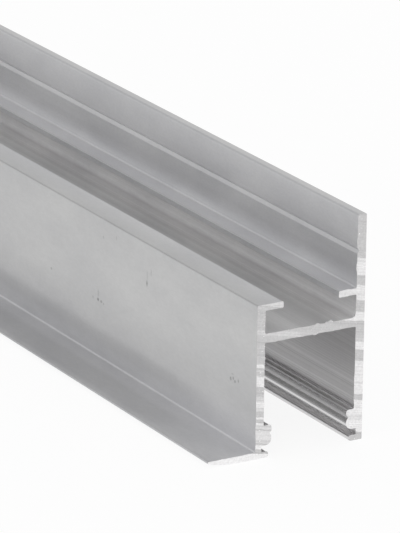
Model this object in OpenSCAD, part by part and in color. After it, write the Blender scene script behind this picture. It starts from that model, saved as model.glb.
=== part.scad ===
// Extruded aluminium wall profile, one piece sawn square at both ends.
// Its section has a tall back wall with a drill line, a slot under two lips for sliding clips,
// a channel with snap beads for a cover, and a foot flange that carries the edge of a board.
// The bar lies along Y and stands on its foot, with the back wall at +X.

/* [Stock] */
// Length between the sawn ends
length = 1000; // [100:10:3000]

/* [Walls] */
// Width across the outer faces of the two walls
body_w = 25; // [20:0.5:40]
// Height of the back wall
back_h = 48; // [44:0.5:80]
// Height of the front wall and of the slot lips
front_h = 32.5; // [28:0.5:36]
// Thickness of the back wall
back_t = 2; // [1.4:0.1:2.6]
// Thickness of the front wall
front_t = 1.8; // [1.4:0.1:2.6]
// Thickness of the web between the walls
web_t = 1.9; // [1.2:0.1:3]

/* [Clip slot] */
// Clear height between the web and the lips
slot_h = 4.9; // [3:0.1:6]
// How far each lip stands out from its wall
lip_reach = 4.1; // [2:0.1:6]
// Thickness of the lips
lip_t = 1.3; // [1:0.1:2]

/* [Drill line] */
// Distance of the V groove below the top of the back wall
drill_drop = 7.6; // [3:0.1:12]
// Width of the V groove at the wall's face
drill_w = 1.4; // [0.6:0.1:2.4]
// Depth of the V groove
drill_depth = 0.4; // [0.2:0.05:0.9]

/* [Cover channel] */
// How far the snap beads stand out from their walls
bead_reach = 1.8; // [1:0.1:2.6]
// Height of the lower, rounder bead
catch_h = 2.7; // [1.6:0.1:3.6]
// Radius of the lower bead's nose
catch_r = 1.3; // [0.3:0.05:1.6]
// Height of the upper, squarer bead
ridge_h = 1.5; // [1:0.1:2.4]
// Radius of the upper bead's nose
ridge_r = 0.6; // [0.2:0.05:1]
// Depth of the notch between the two beads
notch_depth = 0.45; // [0.1:0.05:0.7]
// Height of the recess below the beads
recess_h = 1.4; // [0.8:0.1:2.4]
// Depth of the recess into the wall
recess_depth = 0.55; // [0.2:0.05:0.8]
// How far the bottom lips stand out from their walls
bottom_lip_reach = 1.1; // [0.6:0.1:1.6]
// Thickness of the bottom lips
bottom_lip_t = 1.2; // [0.8:0.1:1.8]
// Radius of the bottom lips' noses
bottom_lip_r = 0.5; // [0.2:0.05:0.6]

/* [Foot] */
// How far the foot stands out from the front wall
foot_reach = 11; // [6:0.5:20]
// Thickness of the foot at the wall
foot_t = 1.4; // [1:0.1:2.2]
// Thickness of the foot at its rounded tip
foot_tip_t = 0.5; // [0.3:0.05:0.8]
// Width of flat underside between the wall and the crowned part
foot_flat = 4; // [0.5:0.1:5]

/* [Edges] */
// Radius of the outer edges
edge_r = 0.25; // [0.1:0.05:0.45]
// Radius of the back wall's inner top edge
top_edge_r = 0.5; // [0.15:0.05:1]
// Radius in the plain inside corners
root_r = 0.3; // [0.15:0.05:0.6]
// Radius between the slot's floor and the back wall
slot_floor_r = 0.9; // [0.3:0.05:1.4]
// Radius between the back lip's top and the back wall
lip_root_r = 0.3; // [0.15:0.05:1]
// Radius between the foot's top and the front wall
foot_root_r = 0.35; // [0.2:0.05:1]

/* [Hidden] */
$fn = 96;
// How far a fillet or a cut runs past the faces it joins
sink = 0.1;
// Inner faces of the walls, across the section from the front wall's outer face
front_inner = front_t;
back_inner = body_w - back_t;
// Levels above the base
lip_z = front_h - lip_t;
web_top = lip_z - slot_h;
web_z = web_top - web_t;
drill_z = back_h - drill_drop;
catch_z = bottom_lip_t + recess_h;
ridge_z = catch_z + catch_h;
// The foot's crowned underside: an arc that leaves the base level and rises to the tip
tip_r = foot_tip_t / 2;
crown_run = foot_reach - foot_flat - tip_r;
crown_rise = foot_t - foot_tip_t;
crown_r = (crown_run * crown_run + crown_rise * crown_rise) / (2 * crown_rise);

// A nose radius stays under half of the height that carries it
function nose_r(r, h) = min(r, 0.48 * h);

// Tongue that stands out along +X from a wall's face at x = 0, with a rounded nose
module tongue(reach, h, r, root) {
    nose = nose_r(r, h);
    translate([-root, 0]) square([root + reach - nose, h]);
    translate([0, nose]) square([reach, h - 2 * nose]);
    for (z = [nose, h - nose]) {
        translate([reach - nose, z]) circle(nose);
    }
}

// The piece between a corner and its rounding, for a corner at [x, z] that opens towards +X +Z,
// turned by a number of quarter turns. Added it fills an inside corner, cut away it rounds an edge
module corner_blend(x, z, r, quarter) {
    translate([x, z]) rotate(90 * quarter) difference() {
        translate([-sink, -sink]) square(r + sink);
        translate([r, r]) circle(r);
    }
}

// Upright wall from the base with rounded edges, the top one at x = 0 by a radius of its own
module wall(t, h, top_r) {
    difference() {
        square([t, h]);
        corner_blend(0, 0, edge_r, 0);
        corner_blend(t, 0, edge_r, 1);
        corner_blend(t, h, edge_r, 2);
        corner_blend(0, h, top_r, 3);
    }
}

// What holds the cover on one wall: two snap beads with a notch between them, and the bottom lip.
// The wall's inner face is at x = 0 and the channel at +X
module cover_edge(wall_t) {
    root = wall_t / 2;
    notch_floor = bead_reach - notch_depth;
    translate([0, catch_z]) tongue(bead_reach, catch_h, catch_r, root);
    translate([0, ridge_z]) tongue(bead_reach, ridge_h, ridge_r, root);
    translate([0, catch_z + catch_h / 2]) square([notch_floor, (catch_h + ridge_h) / 2]);
    tongue(bottom_lip_reach, bottom_lip_t, bottom_lip_r, root);
    corner_blend(0, ridge_z + ridge_h, root_r, 0);
}

// The recess that the cover's hooks snap into, cut into a wall below the beads
module cover_recess() {
    translate([-recess_depth, bottom_lip_t]) square([recess_depth + sink, recess_h]);
}

// Foot flange: a flat strip beside the wall, then a crowned underside out to a round tip
module foot() {
    translate([-foot_flat, 0]) square([foot_flat + front_t / 2, foot_t]);
    intersection() {
        translate([tip_r - foot_reach, 0]) square([crown_run + sink, foot_t]);
        translate([-foot_flat, crown_r]) circle(crown_r);
    }
    translate([tip_r - foot_reach, foot_t - tip_r]) circle(tip_r);
}

// V groove that guides a drill, cut into the back wall's inner face at x = 0.
// The triangle starts as far before the face as the groove is deep
module drill_line() {
    translate([0, drill_z])
        polygon([[-drill_depth, -drill_w], [drill_depth, 0], [-drill_depth, drill_w]]);
}

// The front wall with its recess, and everything that stands on it
module front_side() {
    difference() {
        wall(front_t, front_h, edge_r);
        translate([front_inner, 0]) cover_recess();
    }
    translate([front_inner, 0]) cover_edge(front_t);
    translate([front_inner, lip_z]) tongue(lip_reach, lip_t, edge_r, front_t / 2);
    foot();
    corner_blend(front_inner, lip_z, root_r, 3);
    corner_blend(front_inner, web_top, root_r, 0);
    corner_blend(front_inner, web_z, root_r, 3);
    corner_blend(0, foot_t, foot_root_r, 1);
}

// The back wall with its drill line and recess, and everything that stands on it
module back_side() {
    translate([back_inner, 0]) {
        difference() {
            wall(back_t, back_h, top_edge_r);
            drill_line();
            mirror([1, 0]) cover_recess();
        }
        mirror([1, 0]) cover_edge(back_t);
        translate([0, lip_z]) mirror([1, 0]) tongue(lip_reach, lip_t, edge_r, back_t / 2);
    }
    corner_blend(back_inner, front_h, lip_root_r, 1);
    corner_blend(back_inner, lip_z, root_r, 2);
    corner_blend(back_inner, web_top, slot_floor_r, 1);
    corner_blend(back_inner, web_z, root_r, 2);
}

// The die's opening, with the front wall's outer face at x = 0 and the base at z = 0
module section() {
    front_side();
    back_side();
    translate([front_t / 2, web_z]) square([body_w - (front_t + back_t) / 2, web_t]);
}

// The bar, centred along Y and across its whole width
module extruded_profile() {
    color("silver")
        rotate([90, 0, 0])
            linear_extrude(length, center = true)
                translate([(foot_reach - body_w) / 2, 0])
                    section();
}

extruded_profile();
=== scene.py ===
"""Looks of an extruded aluminium wall profile: mill-finish skin, sawn ends with burrs, white studio."""
import math
from collections import Counter
import bmesh
import bpy
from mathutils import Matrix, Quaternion, Vector, noise


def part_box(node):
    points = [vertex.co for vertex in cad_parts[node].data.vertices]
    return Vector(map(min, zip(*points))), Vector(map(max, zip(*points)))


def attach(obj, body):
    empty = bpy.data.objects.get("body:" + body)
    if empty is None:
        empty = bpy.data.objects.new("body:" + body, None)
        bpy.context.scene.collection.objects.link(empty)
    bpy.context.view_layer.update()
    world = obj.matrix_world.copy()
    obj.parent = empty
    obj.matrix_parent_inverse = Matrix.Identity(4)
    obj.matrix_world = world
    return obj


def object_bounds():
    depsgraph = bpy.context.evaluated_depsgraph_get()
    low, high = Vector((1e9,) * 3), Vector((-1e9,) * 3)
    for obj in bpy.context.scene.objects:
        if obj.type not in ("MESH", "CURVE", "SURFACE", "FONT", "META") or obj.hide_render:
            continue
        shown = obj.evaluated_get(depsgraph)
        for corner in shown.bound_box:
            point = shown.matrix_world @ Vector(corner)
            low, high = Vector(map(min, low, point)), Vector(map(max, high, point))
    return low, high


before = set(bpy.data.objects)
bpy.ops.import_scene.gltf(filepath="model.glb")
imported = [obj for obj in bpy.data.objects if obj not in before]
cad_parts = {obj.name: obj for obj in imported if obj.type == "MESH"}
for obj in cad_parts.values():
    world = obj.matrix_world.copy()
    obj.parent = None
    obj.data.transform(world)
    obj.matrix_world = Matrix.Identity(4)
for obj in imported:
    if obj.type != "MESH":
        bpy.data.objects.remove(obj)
cad_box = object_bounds()

MM = 0.001

# The bar's place in the frame, with its middle at Y = 0
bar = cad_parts["extruded_profile"]
bar_low, bar_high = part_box("extruded_profile")
NEAR_END = bar_low[1]
FAR_END = bar_high[1]

# Section of the bar, in millimetres across (X) and up (Z)
FOOT_TIP = bar_low[0] / MM
OUTER_FACE = -7.0
FRONT_INNER = -5.2
BACK_LIP_TIP = 11.9
BACK_INNER = 16.0
BOTTOM_LIP_TOP = 1.2
RECESS_TOP = 2.6
WEB_UNDER = 24.4
WEB_TOP = 26.3
LIP_UNDER = 31.2
FRONT_TOP = 32.5
DRILL_LINE = 40.4
DRILL_LINE_TOP = 41.1
DRILL_LINE_DEPTH = 0.4
BACK_TOP = bar_high[2] / MM
# Margin that takes in the whole of a face
MARGIN = 0.2
# A level under the bar and one over it
BELOW = -1.0
ABOVE = BACK_TOP + 1.0

# Camera, as the photograph was taken
CAMERA_LENS = 316.3
CAMERA_SENSOR = 36.0
CAMERA_REACH = 200.0
CAMERA_DISTANCE = 935.2 * MM
CAMERA_HEADING = math.radians(30.24)
CAMERA_DIP = math.radians(18.63)
CAMERA_ROLL = math.radians(0.71)
CAMERA_AIM = Vector((-11.28 * MM, NEAR_END + 15.55 * MM, 36.78 * MM))

# Light
WHITE = (1, 1, 1, 1)
SKY_FOR_METAL = 1.0
SKY_FOR_MATTE = 0.65
SUN_STRENGTH = 0.4
SUN_SOFTNESS = math.radians(90)
SUN_HEADING = math.radians(-40)
SUN_HEIGHT = math.radians(55)
# Dimmer part of the sky, behind the bar on its foot's side: its level, its middle, and the cosines of the
# angles from its middle where it starts and where it is full
DIM_SKY = 0.7
DIM_SIDE = Vector((-0.45, 0.8, 0.45)).normalized()
DIM_SPREAD = (0.55, 0.97)

# Floor
FLOOR_SIZE = 60.0
FLOOR_DROP = 0.02 * MM
FLOOR_GLOW = 0.885
FLOOR_SHADED = (0.14, 0.14, 0.14, 1)
FLOOR_WHITE = (0.9, 0.9, 0.9, 1)

# Mill finish in linear colour: outside, between the walls, in the slot and in the channel. The inner ones
# differ from the outer one by painted light that lifts the shade in the hollows
OPEN_SKIN = (0.61, 0.61, 0.61, 1)
SHELTERED_SKIN_AND_LIGHT = (0.722, 0.722, 0.733, 1)
SLOT_SKIN_AND_LIGHT = (0.66, 0.656, 0.657, 1)
CHANNEL_SKIN_AND_LIGHT = (0.613, 0.607, 0.61, 1)
SKIN_ROUGHNESS = 0.5
SLOT_ROUGHNESS = 0.62
CHANNEL_ROUGHNESS = 0.42
ROUGHNESS_SWING = 0.2

# Areas of the section, as limits across X and limits up Z. They reach a little into the metal around them
SLOT = ((FRONT_INNER - 0.2, BACK_INNER + 0.2), (WEB_TOP - 0.1, LIP_UNDER + 0.1))
CHANNEL = ((FRONT_INNER - 0.7, BACK_INNER + 0.7), (BELOW, WEB_UNDER + 0.3))
# X from which the skin is all sheltered. The change starts at the outer face
SHELTERED_FROM = 1.0

# Painted light and shade in the slot: how bright it is from each X on, and half the width of each change
SLOT_PAINTED_TONES = [(-6.0, 1.15), (-3.0, 0.98), (3.0, 0.88), (8.0, 0.89), (10.2, 1.09), (12.4, 1.4), (15.5, 1.19)]
SLOT_CHANGE = 1.0
# The same painted light and shade for the channel from each Z on: bottom lip, recess, lower bead with a
# painted highlight line, notch, upper bead, and the wall above them
CHANNEL_PAINTED_TONES = [
    (0.0, 1.25),
    (1.0, 1.6),
    (2.6, 0.76), (3.36, 1.3), (3.86, 0.66), (4.42, 1.6),
    (5.02, 0.72),
    (5.95, 0.45), (6.33, 1.6),
    (7.3, 0.88), (8.87, 0.96), (9.4, 0.83), (12.0, 0.93), (16.0, 0.98), (18.0, 1.02), (20.0, 1.06),
]
CHANNEL_CHANGE = 0.08

# Painted shade and painted light on edges and narrow faces: limits across X, limits up Z, and the shade
EDGE_SHADES = [
    # Tip of the foot
    ((FOOT_TIP - 1.0, FOOT_TIP + 0.35), (BELOW, ABOVE), 0.85),
    # Outer edge of the front wall's top
    ((OUTER_FACE - 1.0, OUTER_FACE + 0.28), (FRONT_TOP - 0.38, ABOVE), 0.92),
    # Back lip, its edge and its nose
    ((BACK_LIP_TIP, BACK_INNER - 0.2), (LIP_UNDER + 0.2, FRONT_TOP + 0.2), 0.98),
    ((BACK_LIP_TIP - 0.2, BACK_LIP_TIP + 0.3), (FRONT_TOP - 0.22, ABOVE), 0.79),
    ((BACK_LIP_TIP - 0.2, BACK_LIP_TIP + 0.1), (LIP_UNDER + 0.2, FRONT_TOP - 0.3), 1.12),
    # Upper side of the drill line
    ((BACK_INNER + 0.05, BACK_INNER + 0.5), (DRILL_LINE, DRILL_LINE_TOP), 1.14),
    # Inner edge of the back wall's top
    ((BACK_INNER + 0.12, BACK_INNER + 0.6), (BACK_TOP - 0.3, ABOVE), 0.84),
]

# Painted shade on faces that look up, over the foot: how far up they look and their heights where the shade
# starts and is full
UPWARD_FACING = (0.1, 0.6)
UPWARD_HEIGHTS = (10.0, 20.0)
UPWARD_SHADE = 0.88
# Painted light on the back wall over its lip: heights where it brightens and where that fades
LOW_BACK = (BACK_INNER - 0.1, BACK_INNER + 0.5)
LOW_BACK_RISE = (FRONT_TOP + 0.2, FRONT_TOP + 0.8)
LOW_BACK_FADE = (34.0, 42.0)
LOW_BACK_SHINE = 1.12
# Painted shade in the recess under the beads, darker near the ends
RECESS_END_LENGTH = 4.0
RECESS_END_SHADE = 0.7
# Low outer faces: heights over which their bluish painted light fades, and how painted light brightens them
# towards the ends
LOW_FADE = (3.0, 12.0)
LOW_PAINTED_LIGHT = (1.035, 1.035, 1.052, 1)
NO_TINT = WHITE
END_SHINE = 1.14
END_SHINE_LENGTH = 60.0
# Painted shade in darker bands low on the front wall and on the foot: limits, softness, and distances from
# the end where they start and are full
WALL_BAND = (4.2, 7.5, 1.2)
FOOT_BAND = (-17.0, -10.8, 1.0)
BAND_START = (12.0, 35.0)
BAND_SHADE = 0.89

# Middle of every noise
NOISE_MIDDLE = 0.5
# Noises of the skin: grains along X, Y and Z in millimetres, and how much finer detail there is
DIE_LINES = ((0.3, 220.0, 0.3), 3.0)
CLOUDS = ((9.0, 22.0, 9.0), 3.0)
GRAIN = ((0.4, 1.0, 0.4), 1.0)
MOTTLE = ((1.6, 4.0, 1.6), 2.0)
GRAIN_SWING = 0.08
MOTTLE_SWING = 0.06
CLOUD_RANGE = (0.3, 0.7)
DARK_CLOUD = (0.96, 0.961, 0.966, 1)
PALE_CLOUD = (1.035, 1.035, 1.033, 1)
# How strong the die lines are outside, in the slot, and low and high in the channel
LINE_SWING = 0.06
SLOT_LINE_SWING = 0.24
CHANNEL_LINE_SWINGS = (0.85, 0.45)
CHANNEL_LINE_HEIGHTS = (11.0, 16.0)

# Rubbed spots on the outer face, in millimetres: distance from the near end, height, half length and half
# height, and how dark each one is
MARKS = [
    (65.3, 14.0, 0.5, 0.4, 1.0), (63.9, 13.9, 0.45, 0.35, 0.9), (62.9, 13.7, 0.3, 0.25, 0.5),
    (67.5, 13.9, 0.4, 0.3, 0.4), (65.2, 15.3, 0.4, 1.0, 0.35),
    (44.5, 23.8, 0.35, 0.7, 0.9), (44.4, 25.6, 0.3, 1.2, 0.3), (42.8, 26.6, 0.25, 0.8, 0.4),
    (10.1, 14.0, 0.4, 0.45, 0.9), (9.1, 14.4, 0.3, 0.4, 0.8), (8.4, 13.9, 0.35, 0.35, 0.9),
    (7.1, 14.4, 0.3, 0.4, 0.7), (9.4, 15.2, 0.5, 0.2, 0.4),
    (86.0, 14.7, 0.4, 0.3, 0.6), (63.1, 28.4, 0.35, 0.4, 0.4), (57.5, 29.8, 0.3, 0.5, 0.35),
]
MARK_SHADE = 0.5
MARK_DEPTH = 1.0
# Shares of its half sizes over which a mark fades
MARK_FADE = (0.3, 1.35)
# Patches in the marks: noise, its range, and how much of the mark is left between them
MARK_PATCHES = ((1.0, 0.3, 0.3), 1.0)
MARK_PATCH_RANGE = (0.35, 0.55)
MARK_LEAST = 0.5

# Sawn ends: how far a face looks along the bar, and the metal between the blade's bands and in them
SAWN_FACING = 0.7
SAWN_GREY = 0.64
SAWN_BRIGHT = 0.865
SAWN_TINT = (1.0, 0.993, 0.995)
SAWN_ROUGHNESS = 0.55
SAWN_ROUGHNESS_SWING = 0.3
# The blade's slope, and the X of the walls' middles and of the line that parts their bands
BLADE_SLOPE = 0.21
FRONT_WALL = -6.1
BACK_WALL = 17.0
BETWEEN_WALLS = 3.0
# Bands that the blade left brighter: the heights where each starts and ends on its wall in millimetres, and
# how much of the brightness it has
FRONT_BANDS = [
    (32.4, 34.0, 0.55), (26.2, 27.3, 0.35), (19.2, 20.0, 1.0), (18.4, 18.8, 0.4), (15.3, 17.5, 1.05),
    (12.5, 13.2, 0.4), (10.9, 12.4, 0.95), (10.1, 10.9, 0.5), (8.4, 8.8, 1.1), (7.2, 7.6, 1.2),
    (6.3, 7.2, 0.55), (4.0, 6.0, 0.75), (3.2, 4.0, 0.4), (2.0, 2.9, 1.2), (-5.0, 1.1, 1.25),
]
BACK_BANDS = [
    (35.0, 38.7, 1.0), (29.8, 33.0, 0.9), (25.4, 27.4, 1.0), (21.0, 22.4, 0.25), (19.3, 21.0, 1.05),
    (9.8, 16.9, 1.0), (5.5, 8.5, 1.1), (4.2, 5.5, 0.7), (1.7, 4.2, 1.1),
]
# Noises of the sawn metal: grain in millimetres and finer detail, and how much each one does
WANDER = ((1.5, 1.5, 1.5), 2.0)
WANDER_REACH = 0.5
SCRATCHES = (0.22, 2.0)
SCRATCH_SWING = 0.36
SCORES = (0.9, 1.0)
SCORE_RANGE = (0.6, 0.68)
SCORE_SHADE = 0.93
GRIT = ((0.35, 0.35, 0.35), 3.0)
GRIT_SWING = 0.4
# Painted glints on chips: bright specks that stand for light that the chips catch
GLINTS = ((0.45, 0.45, 0.45), 0.0)
GLINT_RANGE = (0.72, 0.8)
GLINT_BRIGHT = 0.97

# Relief of die lines and scratches
RELIEF_STRENGTH = 0.2
RELIEF_DEPTH = 0.02 * MM

# Burrs along the edges of the sawn ends, in millimetres
BURR_STEP = 0.1
FEWEST_STEPS = 3
BURR_HEIGHT = 0.2
BURR_LEAST = 0.015
BURR_THICKNESS = 0.12
BURR_TIP_SHARE = 0.4
BURR_SUNK = 0.03
BURR_INSET = 0.004
# Patches of burrs and the teeth in them: how many to a millimetre, and how the noise sets their height
PATCHES_PER_MM = 0.4
PATCH_LIFT = 0.15
TEETH_PER_MM = 2.3
TEETH_SEED = 20
TOOTH_MIDDLE = 0.7
TOOTH_SWING = 1.2
# The foot's thin tip has none
BURR_FREE_TIP = -15.0
# Places on the section where the burrs are longest: X, Z, how far around and how long
BURR_SPOTS = [
    (9.6, 26.3, 1.1, 0.45), (6.8, 26.3, 1.2, 0.22), (6.3, 24.4, 0.9, 0.25), (3.2, 24.4, 0.8, 0.15),
    (16.0, 36.9, 0.9, 0.28), (16.0, 42.4, 0.7, 0.25), (16.0, 45.5, 0.6, 0.15), (-1.1, 32.0, 0.5, 0.2),
]
# How far a corner of the mesh may lie from the end's plane
END_TOLERANCE = 0.01 * MM


class Nodes:
    """The nodes of one material or world, with short ways to add to them."""

    def __init__(self, owner, output_kind):
        owner.use_nodes = True
        self.tree = owner.node_tree
        self.tree.nodes.clear()
        self.surface = self.tree.nodes.new(output_kind).inputs["Surface"]

    def add(self, kind, inputs=None, **settings):
        """Adds a node, sets its options, sets or links its inputs, and returns its first output."""
        made = self.tree.nodes.new(kind)
        for name, value in settings.items():
            setattr(made, name, value)
        for socket, value in (inputs or {}).items():
            if isinstance(value, bpy.types.NodeSocket):
                self.tree.links.new(value, made.inputs[socket])
            else:
                made.inputs[socket].default_value = value
        return next(output for output in made.outputs if output.enabled)

    def finish(self, shader):
        """Joins a shader to the output."""
        self.tree.links.new(shader, self.surface)

    def math(self, operation, *values, clamp=False):
        """The named operation on one to three numbers."""
        return self.add("ShaderNodeMath", dict(enumerate(values)), operation=operation, use_clamp=clamp)

    def times(self, first, *others):
        """The product of two or more numbers."""
        for other in others:
            first = self.math("MULTIPLY", first, other)
        return first

    def vector(self, operation, *values):
        """The named operation on one or two vectors."""
        return self.add("ShaderNodeVectorMath", dict(enumerate(values)), operation=operation)

    def scaled(self, vector, factor):
        """A vector or colour times a number."""
        return self.add("ShaderNodeVectorMath", {0: vector, "Scale": factor}, operation="SCALE")

    def split(self, vector):
        """The X, Y and Z of a vector."""
        return self.add("ShaderNodeSeparateXYZ", {0: vector}).node.outputs

    def remap(self, value, low, high, to_low=0.0, to_high=1.0):
        """A smooth step from one level to another while the value goes from low to high."""
        inputs = {"Value": value, "From Min": low, "From Max": high, "To Min": to_low, "To Max": to_high}
        return self.add("ShaderNodeMapRange", inputs, interpolation_type="SMOOTHSTEP")

    def noise(self, place, grain, detail):
        """Noise with grains of the given millimetres along X, Y and Z."""
        stretched = self.vector("DIVIDE", place, grain)
        return self.add("ShaderNodeTexNoise", {"Vector": stretched, "Scale": 1.0, "Detail": detail})

    def line_noise(self, distance, grain, detail):
        """Noise along one distance in millimetres."""
        inputs = {"W": self.math("DIVIDE", distance, grain), "Scale": 1.0, "Detail": detail}
        return self.add("ShaderNodeTexNoise", inputs, noise_dimensions="1D")

    def vary(self, *parts):
        """A factor around 1 from noises, each with its own swing."""
        total = 1.0
        for value, swing in parts:
            part = self.math("MULTIPLY_ADD", value, swing, -swing * NOISE_MIDDLE)
            total = self.math("ADD", part, total)
        return total

    def mix(self, factor, first, second):
        """A number between two numbers, which are sockets 2 and 3 of the mix node."""
        return self.add("ShaderNodeMix", {0: factor, 2: first, 3: second})

    def blend(self, factor, first, second):
        """A colour between two colours, which are sockets 6 and 7 of the mix node."""
        return self.add("ShaderNodeMix", {0: factor, 6: first, 7: second}, data_type="RGBA")

    def within(self, value, low, high, soft=0.1):
        """1 between two limits and 0 outside them, with soft edges."""
        above = self.remap(value, low - soft, low + soft)
        return self.times(above, self.remap(value, high - soft, high + soft, 1.0, 0.0))

    def area(self, x, z, across, up):
        """1 where both X and Z lie within their limits."""
        return self.times(self.within(x, *across), self.within(z, *up))

    def bands(self, value, bands):
        """The sum of bands along the value, each with its own limits and level."""
        total = 0.0
        for low, high, level in bands:
            total = self.math("ADD", self.times(self.within(value, low, high), level), total)
        return total

    def stepped(self, value, levels, soft):
        """A number that goes softly from level to level, each from its own place along the value."""
        total = levels[0][1]
        for start, level in levels[1:]:
            total = self.mix(self.remap(value, start - soft, start + soft), total, level)
        return total


def new_material(name):
    """Makes a material with an empty set of nodes."""
    material = bpy.data.materials.new(name)
    return material, Nodes(material, "ShaderNodeOutputMaterial")


def sheltered(nodes, x, z):
    """1 on the faces between the walls and 0 outside them, with a soft change over the front lip."""
    over_lip = nodes.remap(x, OUTER_FACE, SHELTERED_FROM)
    under_lips = nodes.times(
        nodes.math("GREATER_THAN", x, FRONT_INNER - MARGIN),
        nodes.math("LESS_THAN", z, LIP_UNDER + MARGIN),
    )
    inside = nodes.math("MAXIMUM", over_lip, under_lips)
    return nodes.times(inside, nodes.math("LESS_THAN", x, BACK_INNER + DRILL_LINE_DEPTH + MARGIN))


def rubbed_marks(nodes, place):
    """1 in small dark spots where the outer face was rubbed."""
    total = 0.0
    for along, up, half_length, half_height, level in MARKS:
        centre = (OUTER_FACE, NEAR_END / MM + along, up)
        half_sizes = (MARK_DEPTH, half_length, half_height)
        off = nodes.vector("DIVIDE", nodes.vector("SUBTRACT", place, centre), half_sizes)
        gap = nodes.vector("LENGTH", off).node.outputs["Value"]
        total = nodes.math("MAXIMUM", nodes.remap(gap, *MARK_FADE, level, 0.0), total)
    patches = nodes.noise(place, *MARK_PATCHES)
    return nodes.times(total, nodes.remap(patches, *MARK_PATCH_RANGE, MARK_LEAST, 1.0))


def edge_shade(nodes, x, z):
    """The painted shade and light of the edges and narrow faces."""
    shade = 1.0
    for across, up, level in EDGE_SHADES:
        shade = nodes.times(nodes.mix(nodes.area(x, z, across, up), 1.0, level), shade)
    return shade


def band_shade(nodes, x, z, outside, from_end):
    """The painted shade of the darker bands low on the front wall and on the foot, away from the ends."""
    bands = nodes.math("MAXIMUM", nodes.within(z, *WALL_BAND), nodes.within(x, *FOOT_BAND))
    return nodes.mix(nodes.times(bands, outside, nodes.remap(from_end, *BAND_START)), 1.0, BAND_SHADE)


def skin_look(nodes, place, facing):
    """Colour, roughness and relief of the pressed skin, with die lines along the bar, and painted light and
    shade.
    """
    x, y, z = nodes.split(place)
    from_end = nodes.math("SUBTRACT", FAR_END / MM, nodes.math("ABSOLUTE", y))
    in_slot = nodes.area(x, z, *SLOT)
    in_channel = nodes.area(x, z, *CHANNEL)
    outside = nodes.math("LESS_THAN", x, OUTER_FACE + MARGIN)
    low_face = nodes.times(outside, nodes.remap(z, *LOW_FADE, 1.0, 0.0))

    # Where the skin lies: outside, between the walls, in the slot or in the channel, each with its painted
    # light and shade
    skin = nodes.blend(sheltered(nodes, x, z), OPEN_SKIN, SHELTERED_SKIN_AND_LIGHT)
    skin = nodes.blend(in_slot, skin, SLOT_SKIN_AND_LIGHT)
    skin = nodes.blend(in_channel, skin, CHANNEL_SKIN_AND_LIGHT)
    tone = nodes.mix(in_slot, 1.0, nodes.stepped(x, SLOT_PAINTED_TONES, SLOT_CHANGE))
    tone = nodes.mix(in_channel, tone, nodes.stepped(z, CHANNEL_PAINTED_TONES, CHANNEL_CHANGE))
    rough = nodes.mix(in_slot, SKIN_ROUGHNESS, SLOT_ROUGHNESS)
    rough = nodes.mix(in_channel, rough, CHANNEL_ROUGHNESS)

    # Painted shade and light on faces and edges, and the real rubbed marks that are darker than the rest
    upward = nodes.times(nodes.remap(facing[2], *UPWARD_FACING), nodes.remap(z, *UPWARD_HEIGHTS))
    low_back = nodes.times(
        nodes.within(x, *LOW_BACK),
        nodes.remap(z, *LOW_BACK_RISE),
        nodes.remap(z, *LOW_BACK_FADE, 1.0, 0.0),
    )
    recess_end = nodes.times(
        in_channel,
        nodes.within(z, BOTTOM_LIP_TOP, RECESS_TOP),
        nodes.remap(from_end, 0.0, RECESS_END_LENGTH, 1.0, 0.0),
    )
    shade = nodes.times(
        tone,
        edge_shade(nodes, x, z),
        band_shade(nodes, x, z, outside, from_end),
        nodes.mix(upward, 1.0, UPWARD_SHADE),
        nodes.mix(low_back, 1.0, LOW_BACK_SHINE),
        nodes.mix(recess_end, 1.0, RECESS_END_SHADE),
        nodes.mix(low_face, 1.0, nodes.remap(from_end, 0.0, END_SHINE_LENGTH, END_SHINE, 1.0)),
        nodes.mix(rubbed_marks(nodes, place), 1.0, MARK_SHADE),
    )

    # Die lines, grain and clouds
    lines = nodes.noise(place, *DIE_LINES)
    clouds = nodes.noise(place, *CLOUDS)
    grain = nodes.noise(place, *GRAIN)
    mottle = nodes.noise(place, *MOTTLE)
    line_swing = nodes.mix(in_slot, LINE_SWING, SLOT_LINE_SWING)
    channel_swing = nodes.remap(z, *CHANNEL_LINE_HEIGHTS, *CHANNEL_LINE_SWINGS)
    line_swing = nodes.mix(in_channel, line_swing, channel_swing)
    streaks = nodes.times(nodes.math("SUBTRACT", lines, NOISE_MIDDLE), line_swing)
    texture = nodes.math("ADD", nodes.vary((grain, GRAIN_SWING), (mottle, MOTTLE_SWING)), streaks)
    tint = nodes.blend(nodes.remap(clouds, *CLOUD_RANGE), DARK_CLOUD, PALE_CLOUD)
    # The low faces' bluish painted light
    tint = nodes.vector("MULTIPLY", tint, nodes.blend(low_face, NO_TINT, LOW_PAINTED_LIGHT))
    colour = nodes.scaled(nodes.vector("MULTIPLY", skin, tint), nodes.times(shade, texture))
    rough = nodes.times(rough, nodes.vary((lines, ROUGHNESS_SWING), (clouds, ROUGHNESS_SWING)))
    return colour, rough, lines


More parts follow.
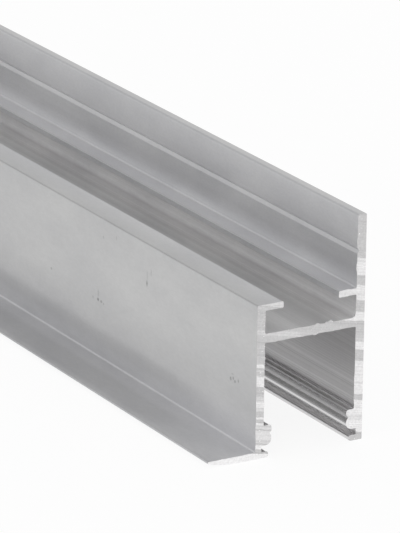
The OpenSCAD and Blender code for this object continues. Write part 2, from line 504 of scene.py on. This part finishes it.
def sawn_look(nodes, place):
    """Colour, roughness and relief of the sawn ends, with the blade's bands, scratches, and painted glints on
    chips.
    """
    x, _, z = nodes.split(place)
    at_back = nodes.math("GREATER_THAN", x, BETWEEN_WALLS)
    from_wall = nodes.math("SUBTRACT", x, nodes.mix(at_back, FRONT_WALL, BACK_WALL))
    height = nodes.math("ADD", z, nodes.times(from_wall, BLADE_SLOPE))
    wander = nodes.math("SUBTRACT", nodes.noise(place, *WANDER), NOISE_MIDDLE)
    stroke = nodes.math("ADD", height, nodes.times(wander, WANDER_REACH))
    bright = nodes.mix(at_back, nodes.bands(stroke, FRONT_BANDS), nodes.bands(stroke, BACK_BANDS))
    scratches = nodes.line_noise(stroke, *SCRATCHES)
    scores = nodes.remap(nodes.line_noise(stroke, *SCORES), *SCORE_RANGE)
    grit = nodes.noise(place, *GRIT)
    glints = nodes.remap(nodes.noise(place, *GLINTS), *GLINT_RANGE)
    tone = nodes.times(
        nodes.math("MULTIPLY_ADD", bright, SAWN_BRIGHT - SAWN_GREY, SAWN_GREY),
        nodes.vary((scratches, SCRATCH_SWING), (grit, GRIT_SWING)),
        nodes.mix(scores, 1.0, SCORE_SHADE),
    )
    # Painted glints where the chips catch the light
    tone = nodes.math("MAXIMUM", tone, nodes.times(glints, GLINT_BRIGHT))
    swing = nodes.vary((scratches, SAWN_ROUGHNESS_SWING), (grit, SAWN_ROUGHNESS_SWING))
    return nodes.scaled(SAWN_TINT, tone), nodes.times(swing, SAWN_ROUGHNESS), scratches


def mill_aluminium():
    """Bare aluminium: pressed skin, and sawn metal where a face looks along the bar."""
    material, nodes = new_material("mill_aluminium_skin")
    coordinates = nodes.add("ShaderNodeTexCoord").node.outputs
    place = nodes.scaled(coordinates["Object"], 1.0 / MM)
    facing = nodes.split(coordinates["Normal"])
    sawn = nodes.math("GREATER_THAN", nodes.math("ABSOLUTE", facing[1]), SAWN_FACING)
    skin, skin_rough, skin_relief = skin_look(nodes, place, facing)
    cut, cut_rough, cut_relief = sawn_look(nodes, place)
    bump = nodes.add("ShaderNodeBump", {
        "Strength": RELIEF_STRENGTH,
        "Distance": RELIEF_DEPTH,
        "Height": nodes.mix(sawn, skin_relief, cut_relief),
    })
    nodes.finish(nodes.add("ShaderNodeBsdfPrincipled", {
        "Base Color": nodes.blend(sawn, skin, cut),
        "Metallic": 1.0,
        "Roughness": nodes.mix(sawn, skin_rough, cut_rough),
        "Normal": bump,
    }))
    return material


def end_outline(end):
    """The section's outline at one end of the bar, as points of X and Z in millimetres, anticlockwise."""
    mesh = bar.data
    edges = Counter()
    for face in mesh.polygons:
        if all(abs(mesh.vertices[corner].co.y - end) < END_TOLERANCE for corner in face.vertices):
            edges.update(face.edge_keys)
    beside = {}
    for first, second in (edge for edge, faces in edges.items() if faces == 1):
        beside.setdefault(first, []).append(second)
        beside.setdefault(second, []).append(first)
    here = start = next(iter(beside))
    before = None
    loop = []
    while here != start or not loop:
        loop.append(here)
        before, here = here, next(corner for corner in beside[here] if corner != before)
    points = [Vector((mesh.vertices[corner].co.x, mesh.vertices[corner].co.z)) / MM for corner in loop]
    area = sum(a.x * b.y - b.x * a.y for a, b in zip(points, points[1:] + points[:1]))
    return points if area > 0 else points[::-1]


def burr_height(x, z, seed):
    """How far a burr stands out from the section's edge at one place."""
    if x < BURR_FREE_TIP:
        return 0.0
    patch = noise.noise(Vector((x * PATCHES_PER_MM, z * PATCHES_PER_MM, seed)))
    teeth = noise.noise(Vector((x * TEETH_PER_MM, z * TEETH_PER_MM, seed + TEETH_SEED)))
    height = BURR_HEIGHT * max(0.0, patch + PATCH_LIFT)
    for spot_x, spot_z, around, spot_height in BURR_SPOTS:
        gap = math.hypot(x - spot_x, z - spot_z) / around
        height = max(height, spot_height * (1.0 - gap * gap))
    return height * max(0.0, TOOTH_MIDDLE + TOOTH_SWING * teeth)


def burr_runs(end, seed):
    """Unbroken runs of burrs along one end's outline, as roots and tips of X and Z in millimetres."""
    outline = end_outline(end)
    low = cad_box[0] / MM
    high = cad_box[1] / MM
    runs = [[]]
    for a, b in zip(outline, outline[1:] + outline[:1]):
        side = b - a
        outward = Vector((side.y, -side.x)).normalized()
        steps = max(1, round(side.length / BURR_STEP))
        for step in range(steps):
            edge = a + side * (step / steps)
            tip = edge + outward * burr_height(edge.x, edge.y, seed)
            tip.x = min(max(tip.x, low.x), high.x)
            tip.y = min(max(tip.y, low.z), high.z)
            if (tip - edge).length > BURR_LEAST:
                runs[-1].append((edge - outward * BURR_SUNK, tip))
            elif runs[-1]:
                runs.append([])
    return [run for run in runs if len(run) >= FEWEST_STEPS]


def add_burrs(name, end, seed, material):
    """Thin ragged slivers that the saw left along the edges of one end, each a closed strip."""
    inward = -math.copysign(1.0, end)
    front = end / MM + inward * BURR_INSET
    shape = bmesh.new()
    for run in burr_runs(end, seed):
        rings = []
        for root, tip in run:
            ring = []
            for point, depth in ((root, 0.0), (tip, 0.0), (tip, BURR_TIP_SHARE), (root, 1.0)):
                place = Vector((point.x, front + inward * depth * BURR_THICKNESS, point.y))
                ring.append(shape.verts.new(place * MM))
            rings.append(ring)
        for ring, following in zip(rings, rings[1:]):
            for corner in range(len(ring)):
                after = (corner + 1) % len(ring)
                shape.faces.new((ring[corner], ring[after], following[after], following[corner]))
        shape.faces.new(rings[0][::-1])
        shape.faces.new(rings[-1])
    bmesh.ops.recalc_face_normals(shape, faces=shape.faces)
    mesh = bpy.data.meshes.new(name)
    shape.to_mesh(mesh)
    shape.free()
    mesh.materials.append(material)
    burrs = bpy.data.objects.new(name, mesh)
    bpy.context.scene.collection.objects.link(burrs)
    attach(burrs, "root")


def seen_rays(nodes):
    """1 for what the camera, a reflection or a clear piece looks at, and 0 for matte light."""
    rays = nodes.add("ShaderNodeLightPath").node.outputs
    seen = nodes.math("ADD", rays["Is Camera Ray"], rays["Is Glossy Ray"])
    return nodes.math("ADD", seen, rays["Is Transmission Ray"], clamp=True)


def floor_material():
    """White studio floor that keeps a soft shadow where it is seen."""
    material, nodes = new_material("white_floor")
    matte = nodes.add("ShaderNodeBsdfDiffuse", {"Color": FLOOR_WHITE})
    shaded = nodes.add("ShaderNodeBsdfDiffuse", {"Color": FLOOR_SHADED})
    glow = nodes.add("ShaderNodeEmission", {"Strength": FLOOR_GLOW})
    white = nodes.add("ShaderNodeAddShader", {0: shaded, 1: glow})
    nodes.finish(nodes.add("ShaderNodeMixShader", {0: seen_rays(nodes), 1: matte, 2: white}))
    return material


def add_floor():
    """A wide level floor, a hair under the bar so that no faces coincide."""
    half = FLOOR_SIZE / 2
    sides = ((-half, -half), (half, -half), (half, half), (-half, half))
    corners = [(x, y, -FLOOR_DROP) for x, y in sides]
    mesh = bpy.data.meshes.new("studio_floor")
    mesh.from_pydata(corners, [], [(0, 1, 2, 3)])
    mesh.materials.append(floor_material())
    floor = bpy.data.objects.new("studio_floor", mesh)
    bpy.context.scene.collection.objects.link(floor)


def add_light():
    """A white world, dimmer on one side, and one soft sun."""
    world = bpy.data.worlds.new("white_studio")
    bpy.context.scene.world = world
    nodes = Nodes(world, "ShaderNodeOutputWorld")
    level = nodes.math("MULTIPLY_ADD", seen_rays(nodes), SKY_FOR_METAL - SKY_FOR_MATTE, SKY_FOR_MATTE)
    direction = nodes.add("ShaderNodeTexCoord").node.outputs["Generated"]
    towards_dim = nodes.vector("DOT_PRODUCT", direction, DIM_SIDE).node.outputs["Value"]
    strength = nodes.times(level, nodes.remap(towards_dim, *DIM_SPREAD, 1.0, DIM_SKY))
    nodes.finish(nodes.add("ShaderNodeBackground", {"Color": WHITE, "Strength": strength}))

    lamp = bpy.data.lights.new("soft_sun", "SUN")
    lamp.energy = SUN_STRENGTH
    lamp.angle = SUN_SOFTNESS
    sun = bpy.data.objects.new("soft_sun", lamp)
    shine = Vector((math.sin(SUN_HEADING), -math.cos(SUN_HEADING), 0)) * math.cos(SUN_HEIGHT)
    shine.z = math.sin(SUN_HEIGHT)
    sun.rotation_mode = "QUATERNION"
    sun.rotation_quaternion = shine.to_track_quat("Z", "Y")
    bpy.context.scene.collection.objects.link(sun)


def add_camera():
    """The photograph's viewing angle and framing."""
    data = bpy.data.cameras.new("camera")
    data.lens = CAMERA_LENS
    data.sensor_width = CAMERA_SENSOR
    data.clip_end = CAMERA_REACH
    camera = bpy.data.objects.new("camera", data)
    level = math.cos(CAMERA_DIP)
    forward = Vector((
        math.sin(CAMERA_HEADING) * level,
        math.cos(CAMERA_HEADING) * level,
        -math.sin(CAMERA_DIP),
    ))
    camera.rotation_mode = "QUATERNION"
    camera.rotation_quaternion = Quaternion(forward, -CAMERA_ROLL) @ forward.to_track_quat("-Z", "Y")
    camera.location = CAMERA_AIM - forward * CAMERA_DISTANCE
    bpy.context.scene.collection.objects.link(camera)
    bpy.context.scene.camera = camera


bpy.context.scene.view_settings.view_transform = "Standard"
aluminium = mill_aluminium()
bar.material_slots[0].material = aluminium
add_burrs("near_end_burrs", NEAR_END, seed=1, material=aluminium)
add_burrs("far_end_burrs", FAR_END, seed=2, material=aluminium)
add_floor()
add_light()
add_camera()
